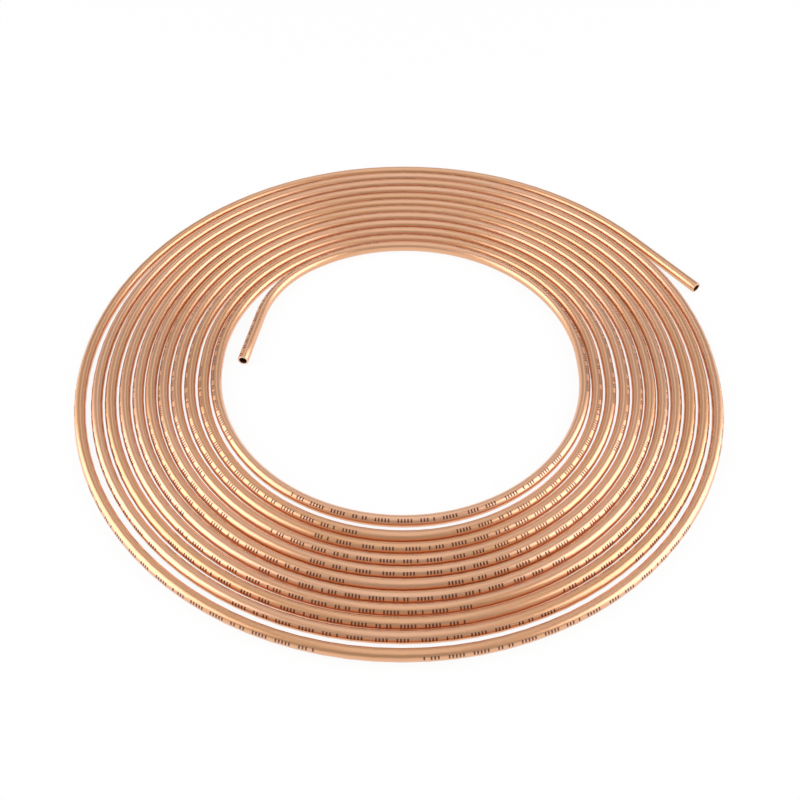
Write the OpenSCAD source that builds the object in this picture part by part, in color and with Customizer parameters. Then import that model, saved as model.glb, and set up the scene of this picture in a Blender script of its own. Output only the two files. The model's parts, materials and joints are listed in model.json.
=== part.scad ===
// Copper tube coil: one length of thin tube, wound flat by hand from the outside in, lying on the
// floor with all its turns in one layer. Both ends are cut square and left free: the outer one runs
// straight off the coil, and the inner one is bent a little into the eye.
// Seen from above, the tube runs anticlockwise from its outer end, and the front is towards -Y.

/* [Tube] */
// Outside diameter of the tube
tube_d = 6.35; // [4:0.05:8]
// Thickness of the tube's wall
wall = 0.9; // [0.5:0.05:1.5]

/* [Winding] */
// Radius of the centre line at the back, where the outermost turn starts
start_r = 181.1; // [170:0.1:260]
// Full turns between the two ends
turns = 11; // [4:1:12]
// Mean gap between a turn and the next one in
gap = 0.95; // [0.9:0.05:2]
// Share by which the gap closes and opens, twice over between the rim and the eye
gap_swing = 0.45; // [0:0.05:0.5]
// Share by which the gap is closer at the front of the coil
front_squeeze = 0.7; // [0:0.05:0.75]
// How far the outermost turn stands off at the left and the front
rim_slack = 2.1; // [0:0.1:4]
// How far the innermost turn stands off at the front
eye_slack = 2.4; // [0:0.1:4]
// How much closer the innermost turn lies at the left and the right
eye_close = 0.4; // [0:0.05:0.4]

/* [Ends] */
// Angle of the lead-in from the outer straight to the back of the coil
outer_lead = 54.5; // [15:0.5:80]
// Length of the straight outer end
outer_straight = 54; // [20:1:120]
// Angle of the lead-out from the back of the coil to the inner bend
inner_lead = 36; // [15:1:60]
// Radius of the bend that turns the inner end into the eye
inner_bend_r = 70; // [40:1:75]
// Angle of that bend
inner_bend = 44; // [20:1:60]
// Length of the straight inner end
inner_straight = 38; // [15:1:60]

/* [Hidden] */
$fn = 96;

bore_d = tube_d - 2 * wall;
quarters = 4 * turns;
// A lead is swept this much too far, and then cut off flush with the back of the coil
overrun = 5;

function hundredths(x) = round(100 * x) / 100;

// The gaps of a number of turns, summed from the rim inwards
function gaps(n) = gap * (n - gap_swing * turns / (4 * PI) * sin(720 * n / turns));

// How far a quarter turn's crossing stands off from the even winding: only on the two edges of the coil
function slack(k) =
    k == 1 || k == 2 ? rim_slack
    : k == quarters - 2 ? -eye_slack
    : k == quarters - 1 || k == quarters - 3 ? eye_close
    : 0;

// Distance from the coil's axis to the centre line at each quarter turn: back, left, front, right, ...
function crossing(k) =
    let (n = k / 4, squeeze = k % 4 == 2 ? front_squeeze : 0)
    hundredths(start_r - n * tube_d - gaps(n) * (1 - squeeze) + slack(k));

end_r = crossing(quarters);

// The leads carry the winding on by this much, outwards and inwards, clear of the turns beside them
growth = hundredths(0.4 * tube_d);
lead_out_r = end_r - growth;

// The outer end's furthest corner to the right, and the middle of the coil's outline
tip_x = growth + (start_r + tube_d / 2) * sin(outer_lead) + outer_straight * cos(outer_lead);
right_x = max(tip_x, crossing(3) + tube_d / 2);
left_x = crossing(1) + tube_d / 2;
middle = [hundredths((right_x - left_x) / 2), hundredths((crossing(0) - crossing(2)) / 2)];

module tube_section() {
    difference() {
        circle(d = tube_d);
        circle(d = bore_d);
    }
}

// A bend about the Z axis, between two angles
module bend(radius, from, to) {
    rotate_extrude(start = from, angle = to - from) translate([radius, 0]) tube_section();
}

// A straight run from the YZ plane along +X
module run(length) {
    rotate([90, 0, 90]) linear_extrude(length) tube_section();
}

// The space on one side of the YZ plane, to cut a lead off flush: 1 keeps the right, -1 the left
module side_space(keep) {
    reach = 2 * start_r;
    translate([keep < 0 ? -reach : 0, 0, -tube_d]) cube([reach, reach, 2 * tube_d]);
}

// One quarter turn, from its crossing on +X to the next one on +Y. It bends on the smaller of the two
// distances, and a short straight takes up the rest.
module quarter(k) {
    from_r = crossing(k);
    to_r = crossing(k + 1);
    bend_r = min(from_r, to_r);
    rotate([0, 0, 90 * (k + 1)]) {
        translate([from_r - bend_r, to_r - bend_r]) bend(bend_r, 0, 90);
        if (from_r > bend_r) translate([0, to_r]) run(from_r - bend_r);
        if (to_r > bend_r) translate([from_r, 0]) rotate([0, 0, 90]) run(to_r - bend_r);
    }
}

// The lead-in and the straight outer end, which leaves the coil along its tangent
module outer_end() {
    translate([0, start_r]) run(growth);
    translate([growth, 0]) {
        intersection() {
            rotate([0, 0, -outer_lead]) bend(start_r, 90, 90 + outer_lead + overrun);
            side_space(1);
        }
        rotate([0, 0, -outer_lead]) translate([0, start_r]) run(outer_straight);
    }
}

// The lead-out, the bend into the eye and the straight inner end
module inner_end() {
    translate([0, growth]) {
        intersection() {
            rotate([0, 0, inner_lead]) bend(lead_out_r, 90 - inner_lead - overrun, 90);
            side_space(-1);
        }
        rotate([0, 0, inner_lead]) translate([0, lead_out_r - inner_bend_r]) {
            intersection() {
                rotate([0, 0, inner_bend]) bend(inner_bend_r, 90 - inner_bend - overrun, 90);
                side_space(-1);
            }
            rotate([0, 0, inner_bend]) translate([-inner_straight, inner_bend_r]) run(inner_straight);
        }
    }
}

module copper_tube() {
    color([0.78, 0.55, 0.43])
    translate([-middle.x, -middle.y, tube_d / 2]) {
        outer_end();
        for (k = [0 : quarters - 1]) quarter(k);
        inner_end();
    }
}

copper_tube();
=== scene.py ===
import json
import math

import bmesh
import bpy
from mathutils import Matrix, Vector


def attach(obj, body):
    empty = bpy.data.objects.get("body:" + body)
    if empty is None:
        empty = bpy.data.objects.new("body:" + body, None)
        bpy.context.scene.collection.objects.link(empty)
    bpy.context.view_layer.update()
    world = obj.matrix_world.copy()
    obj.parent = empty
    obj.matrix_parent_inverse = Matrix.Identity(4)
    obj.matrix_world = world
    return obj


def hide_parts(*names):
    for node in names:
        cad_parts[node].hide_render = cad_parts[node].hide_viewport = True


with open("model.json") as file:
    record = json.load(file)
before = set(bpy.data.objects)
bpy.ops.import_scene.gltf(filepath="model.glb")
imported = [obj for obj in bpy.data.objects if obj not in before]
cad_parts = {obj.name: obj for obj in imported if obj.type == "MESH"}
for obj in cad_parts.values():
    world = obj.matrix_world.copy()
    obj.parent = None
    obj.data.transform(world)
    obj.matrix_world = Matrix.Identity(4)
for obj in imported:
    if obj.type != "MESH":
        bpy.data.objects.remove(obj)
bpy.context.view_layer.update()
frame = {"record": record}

# The tube
# One length of soft copper tube, drawn through a die, and wound flat by hand from the outside in.
# Its turns lie in one layer on the floor, with a little air between them. Both ends are sawn square:
# the outer one runs straight off the coil, and the inner one is bent into the eye.
MM = 0.001
UP = Vector((0, 0, 1))
QUARTER = math.pi / 2
ends = {mount["name"]: mount for mount in frame["record"]["mounts"]}
outer_out = Vector(ends["outer_end"]["axis"]).normalized()
outer_straight = ends["outer_end"]["dims"]["length_mm"] * MM
inner_straight = ends["inner_end"]["dims"]["length_mm"] * MM
outer_tip = Vector(ends["outer_end"]["pos_m"]) + outer_out * outer_straight / 2

tube_r = ends["outer_end"]["dims"]["r_mm"] * MM
wall = 0.9 * MM
bore_r = tube_r - wall
start_r = 181.1 * MM
turns = 11
last = 4 * turns
gap = 0.95 * MM
gap_swing = 0.45
front_squeeze = 0.7
rim_slack = 2.1 * MM
eye_slack = 2.4 * MM
eye_close = 0.4 * MM
slack = {1: rim_slack, 2: rim_slack, last - 3: eye_close, last - 2: -eye_slack, last - 1: eye_close}
outer_lead = math.radians(54.5)
inner_lead = math.radians(36)
inner_bend_r = 70 * MM
inner_bend = math.radians(44)
lead_growth = 2.54 * MM


def crossing(k):
    """Distance from the coil's axis to the tube's centre line, k quarter turns after the back."""
    n = k / 4
    gaps = gap * (n - gap_swing * turns / (2 * math.tau) * math.sin(2 * math.tau * n / turns))
    squeeze = front_squeeze if k % 4 == 2 else 0
    return round(start_r - n * 2 * tube_r - gaps * (1 - squeeze) + slack.get(k, 0), 5)


# The winding as a maker would call it out: each step is a straight run, or a bend to the left.
winding = [(outer_straight, 0, 0), (0, start_r, outer_lead), (lead_growth, 0, 0)]
for k in range(last):
    bend_r = min(crossing(k), crossing(k + 1))
    winding += [(crossing(k + 1) - bend_r, 0, 0), (0, bend_r, QUARTER), (crossing(k) - bend_r, 0, 0)]
lead_out_r = crossing(last) - lead_growth
winding += [(0, lead_out_r, inner_lead), (0, inner_bend_r, inner_bend), (inner_straight, 0, 0)]

# The rings that the tube is drawn through: how far along it each one is, its middle, and its
# direction out of the coil.
facet_turn = math.radians(3.75)
facet_run = 15 * MM
rounding = 1e-6
middle = outer_tip
heading = -outer_out
tube_length = 0
rings = [(tube_length, middle, heading.cross(UP))]
for run, bend_r, turn in winding:
    facets = math.ceil(max(run / facet_run, turn / facet_turn) - rounding)
    for _ in range(facets):
        swing = Matrix.Rotation(turn / facets, 3, UP)
        pivot = middle + UP.cross(heading) * bend_r
        middle = pivot + swing @ (middle - pivot) + heading * run / facets
        heading = swing @ heading
        tube_length += (run + bend_r * turn) / facets
        rings.append((tube_length, middle, heading.cross(UP)))

# The baked map: the skin is cut into lengths, which lie in rows above one another. The bore lies above
# it in narrower rows, and the two cut ends are small discs at the top.
skin_rows = 22
skin_row = 0.042
bore_rows = 2
bore_row = 0.022
row_margin = 0.04
disc_r = 0.014
disc_y = 0.985
disc_x = (0.02, 0.06)

sides = 32
sawn_slot = 1
bore_slot = 2
same_place = 1e-6
bm = bmesh.new()
unwound = bm.verts.layers.float_vector.new("unwound")
baked = bm.loops.layers.uv.new("OFBake")


def wind(radius, row_foot, rows, row_height):
    """Rolls a sheet into a straight tube and winds it through the rings.

    Each vertex keeps its place in the straight tube: along it, out of the coil, and up.
    """
    steps = len(rings) - 1
    row_steps = math.ceil(steps / rows)
    sheet = bmesh.ops.create_grid(bm, x_segments=steps, y_segments=sides, size=0.5)["verts"]
    for face in {face for vert in sheet for face in vert.link_faces}:
        row = round((min(vert.co.x for vert in face.verts) + 0.5) * steps) // row_steps
        for corner in face.loops:
            ring = (corner.vert.co.x + 0.5) * steps
            share = (corner.vert.co.y + 0.5) * (1 - 2 * row_margin) + row_margin
            corner[baked].uv = (ring - row * row_steps) / row_steps, row_foot + (row + share) * row_height
    for vert in sheet:
        along, centre, outwards = rings[round((vert.co.x + 0.5) * steps)]
        spin = (vert.co.y + 0.5) * math.tau
        vert[unwound] = (along, radius * math.cos(spin), radius * math.sin(spin))
        vert.co = centre + outwards * vert[unwound].y + UP * vert[unwound].z


# The skin comes first, then its rims are drawn in to the bore as the cut ends, and then the bore.
wind(tube_r, 0, skin_rows, skin_row)
narrow = bore_r / tube_r
for (tip_along, tip_centre, _), map_x in zip((rings[0], rings[-1]), disc_x):
    rim = [edge for edge in bm.edges
           if all(abs(vert[unwound].x - tip_along) < same_place for vert in edge.verts)]
    cut = bmesh.ops.extrude_edge_only(bm, edges=rim)["geom"]
    lip = [item for item in cut if isinstance(item, bmesh.types.BMVert)]
    bmesh.ops.scale(bm, vec=(narrow, narrow, narrow), space=Matrix.Translation(-tip_centre), verts=lip)
    for vert in lip:
        vert[unwound] = (tip_along, vert[unwound].y * narrow, vert[unwound].z * narrow)
    for face in (item for item in cut if isinstance(item, bmesh.types.BMFace)):
        face.material_index = sawn_slot
        for corner in face.loops:
            _, out, up = corner.vert[unwound] / tube_r
            corner[baked].uv = map_x + out * disc_r, disc_y + up * disc_r
outside = set(bm.faces)
wind(bore_r, skin_rows * skin_row, bore_rows, bore_row)
for face in bm.faces:
    if face not in outside:
        face.material_index = bore_slot
bmesh.ops.remove_doubles(bm, verts=bm.verts, dist=same_place)
bmesh.ops.recalc_face_normals(bm, faces=bm.faces)
rims = [edge for edge in bm.edges if len({face.material_index for face in edge.link_faces}) > 1]
rim_round = 0.12 * MM
bmesh.ops.bevel(bm, geom=rims, offset=rim_round, affect="EDGES", segments=2, profile=0.5, material=-1)
for face in bm.faces:
    face.smooth = True
tube_mesh = bpy.data.meshes.new("wound_tube")
bm.to_mesh(tube_mesh)
bm.free()
sharp_edge = math.radians(50)
tube_mesh.set_sharp_from_angle(angle=sharp_edge)
tube = bpy.data.objects.new("wound_tube", tube_mesh)
bpy.context.scene.collection.objects.link(tube)
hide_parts("copper_tube")
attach(tube, "root")


def colour(code):
    """Linear RGBA of an sRGB hex colour."""
    parts = [int(code[i:i + 2], 16) / 255 for i in (1, 3, 5)]
    return [c / 12.92 if c <= 0.04045 else ((c + 0.055) / 1.055) ** 2.4 for c in parts] + [1]


def add(tree, kind, inputs=None, **settings):
    """Adds a node, with its settings, and sets or links its inputs."""
    node = tree.nodes.new("ShaderNode" + kind)
    for name, value in settings.items():
        setattr(node, name, value)
    for socket, value in (inputs or {}).items():
        if isinstance(value, bpy.types.NodeSocket):
            tree.links.new(value, node.inputs[socket])
        else:
            node.inputs[socket].default_value = value
    return node


def new_material(name):
    """An empty node material, its tree and its output."""
    material = bpy.data.materials.new(name)
    material.use_nodes = True
    material.node_tree.nodes.clear()
    return material, material.node_tree, material.node_tree.nodes.new("ShaderNodeOutputMaterial")


# Satin drawn copper: the die leaves fine lines along the tube, so its highlights are soft, and
# handling leaves it warmer and duller in patches. The lines are drawn coarser than real ones, to show.
# A film of drawing oil, the coat, pales the tube's edges.
satin_copper, tree, output = new_material("satin_drawn_copper")
place = add(tree, "Attribute", attribute_name="unwound").outputs["Vector"]
line_length = 90 * MM
line_width = 0.45 * MM
line_scale = (1 / line_length, 1 / line_width, 1 / line_width)
line_place = add(tree, "Mapping", {"Vector": place, "Scale": line_scale}).outputs[0]
lines = add(tree, "TexNoise", {"Vector": line_place, "Scale": 1, "Detail": 3}).outputs["Fac"]
patch_length = 240 * MM
patch_width = 6 * MM
patch_scale = (1 / patch_length, 1 / patch_width, 1 / patch_width)
patch_place = add(tree, "Mapping", {"Vector": place, "Scale": patch_scale}).outputs[0]
patches = add(tree, "TexNoise", {"Vector": patch_place, "Scale": 1, "Detail": 2}).outputs["Fac"]
dull = add(tree, "MapRange", {"Value": patches, "From Min": 0.38, "From Max": 0.62}).outputs["Result"]
copper = add(tree, "Mix", {0: dull, 6: colour("#EDB48D"), 7: colour("#E5A877")},
             data_type="RGBA").outputs[2]
rough = add(tree, "MapRange", {"Value": lines, "From Min": 0.3, "From Max": 0.7, "To Min": 0.3,
                               "To Max": 0.4}).outputs["Result"]
groove_depth = 0.02 * MM
grooves = add(tree, "Bump", {"Height": lines, "Strength": 0.15, "Distance": groove_depth})

# Ink-jet marks on the copper: one row of plain brown ticks along the outer side, in small groups, which
# climbs the tube from its outer end to its inner one. The groups are counted out in ticks: how often
# each comes, and how much of it is inked.
tick = 1.6 * MM
tick_height = 1.9 * MM
half_row = tick_height / 2 / tube_r
row_from = math.radians(28)
row_to = math.radians(62)
groups = ((1, 0.5), (7, 5), (11, 10), (126, 98))
ink_roughness = 0.35
spot = add(tree, "SeparateXYZ", {0: place}).outputs
climb = add(tree, "MapRange", {"Value": spot["X"], "From Max": tube_length, "To Min": row_from,
                               "To Max": row_to}).outputs["Result"]
around = add(tree, "Math", {0: spot["Z"], 1: spot["Y"]}, operation="ARCTAN2").outputs[0]
inked = add(tree, "Math", {0: around, 1: climb, 2: half_row}, operation="COMPARE").outputs[0]
for every, shown in groups:
    past = add(tree, "Math", {0: spot["X"], 1: every * tick}, operation="MODULO").outputs[0]
    inside = add(tree, "Math", {0: past, 1: shown * tick}, operation="LESS_THAN").outputs[0]
    inked = add(tree, "Math", {0: inked, 1: inside}, operation="MULTIPLY").outputs[0]
marked = add(tree, "Mix", {0: inked, 6: copper, 7: colour("#6B3014")}, data_type="RGBA").outputs[2]
matt = add(tree, "Math", {0: inked, 1: ink_roughness, 2: rough}, operation="MULTIPLY_ADD").outputs[0]
metal = add(tree, "BsdfPrincipled", {"Base Color": marked, "Metallic": 1, "Roughness": matt,
                                     "Normal": grooves.outputs["Normal"], "Coat Weight": 1,
                                     "Coat Roughness": 0.15, "Coat IOR": 1.7})
tree.links.new(metal.outputs["BSDF"], output.inputs["Surface"])
tube_mesh.materials.append(satin_copper)

# Sawn copper, on the cut ends: bright, and scored by the blade.
sawn_copper, tree, output = new_material("sawn_copper")
score_width = 0.3 * MM
score_depth = 0.03 * MM
cut_place = add(tree, "TexCoord").outputs["Object"]
scores = add(tree, "TexNoise", {"Vector": cut_place, "Scale": 1 / score_width, "Detail": 2}).outputs["Fac"]
scored = add(tree, "Bump", {"Height": scores, "Strength": 0.3, "Distance": score_depth})
bright = add(tree, "BsdfPrincipled", {"Base Color": colour("#F6D0B8"), "Metallic": 1, "Roughness": 0.4,
                                      "Normal": scored.outputs["Normal"]})
tree.links.new(bright.outputs["BSDF"], output.inputs["Surface"])
tube_mesh.materials.append(sawn_copper)

# Oxidised copper in the bore, left matt by the annealing oven. Its near-black colour is partly that oxide
# and partly painted shade, for the shade deep inside the tube.
bore_oxide_and_shade, tree, output = new_material("bore_oxide_and_painted_shade")
flake = 2 * MM
bore_place = add(tree, "TexCoord").outputs["Object"]
flakes = add(tree, "TexNoise", {"Vector": bore_place, "Scale": 1 / flake, "Detail": 3}).outputs["Fac"]
# The dark browns are partly oxide and partly painted shade inside the bore.
brown = add(tree, "Mix", {0: flakes, 6: colour("#5A3022"), 7: colour("#3A1C12")},
            data_type="RGBA").outputs[2]
oxide_and_shade = add(tree, "BsdfPrincipled", {"Base Color": brown, "Roughness": 0.9, "Specular IOR Level": 0.1})
tree.links.new(oxide_and_shade.outputs["BSDF"], output.inputs["Surface"])
tube_mesh.materials.append(bore_oxide_and_shade)

# The floor
# A wide white sheet under the coil. Camera and mirror rays see it mostly as plain white paper, and
# the rest of it takes the light and the coil's shadow.
sheet_half = 20
floor_mesh = bpy.data.meshes.new("floor")
bm = bmesh.new()
bmesh.ops.create_grid(bm, x_segments=1, y_segments=1, size=sheet_half)
bm.to_mesh(floor_mesh)
bm.free()
floor = bpy.data.objects.new("floor", floor_mesh)
bpy.context.scene.collection.objects.link(floor)
white_sheet, tree, output = new_material("white_sheet")
bare_white = 0.92
rays = add(tree, "LightPath").outputs
seen = add(tree, "Math", {0: rays["Is Camera Ray"], 1: rays["Is Glossy Ray"]},
           operation="MAXIMUM").outputs[0]
seen = add(tree, "Math", {0: seen, 1: rays["Is Transmission Ray"]}, operation="MAXIMUM").outputs[0]
plain = add(tree, "Math", {0: seen, 1: bare_white}, operation="MULTIPLY").outputs[0]
lit = add(tree, "BsdfDiffuse", {"Color": colour("#F7F7F7")}).outputs[0]
blank = add(tree, "Emission", {"Color": colour("#FFFFFF"), "Strength": 1}).outputs[0]
paper = add(tree, "MixShader", {0: plain, 1: lit, 2: blank})
tree.links.new(paper.outputs[0], output.inputs["Surface"])
floor_mesh.materials.append(white_sheet)

# The light
# A wide soft box on each side of the coil, from near the floor to half way overhead, and a long dim one
# above and behind it, in a studio that is white near the floor and greyer higher up.
def soft_box(name, stand, width, height, watts):
    """An area lamp that faces the middle of the coil."""
    lamp = bpy.data.lights.new(name, "AREA")
    lamp.shape = "RECTANGLE"
    lamp.size = width
    lamp.size_y = height
    lamp.energy = watts
    box = bpy.data.objects.new(name, lamp)
    box.location = stand
    box.rotation_euler = (-Vector(stand)).to_track_quat("-Z", "Y").to_euler()
    bpy.context.scene.collection.objects.link(box)


soft_box("left_box", (-1.0, -0.1, 0.62), 1.2, 1.1, 9.0)
soft_box("right_box", (1.0, -0.1, 0.62), 1.2, 1.1, 9.0)
soft_box("top_box", (0, 0.35, 1.4), 0.5, 2.4, 2.6)
white_to = 0.14
grey_from = 0.36
grey = 0.42
world = bpy.data.worlds.new("studio")
bpy.context.scene.world = world
world.use_nodes = True
tree = world.node_tree
tree.nodes.clear()
output = tree.nodes.new("ShaderNodeOutputWorld")
way = add(tree, "SeparateXYZ", {0: add(tree, "TexCoord").outputs["Generated"]}).outputs
level = add(tree, "MapRange", {"Value": way["Z"], "From Min": white_to, "From Max": grey_from,
                               "To Min": 1, "To Max": grey}, interpolation_type="SMOOTHSTEP")
sky = add(tree, "Background", {"Color": colour("#FFFFFF"), "Strength": level.outputs["Result"]})
tree.links.new(sky.outputs[0], output.inputs["Surface"])

# The camera
# It looks down on the front of the coil from half a metre away.
eye = Vector((-1.4, -361.0, 393.2)) * MM
target = Vector((-1.4, -27.5, 0)) * MM
camera = bpy.data.objects.new("camera", bpy.data.cameras.new("camera"))
camera.data.sensor_width = 36
camera.data.lens = 41.5
camera.data.clip_start = 10 * MM
camera.location = eye
camera.rotation_euler = (target - eye).to_track_quat("-Z", "Y").to_euler()
bpy.context.scene.collection.objects.link(camera)
bpy.context.scene.camera = camera
bpy.context.scene.view_settings.view_transform = "Standard"
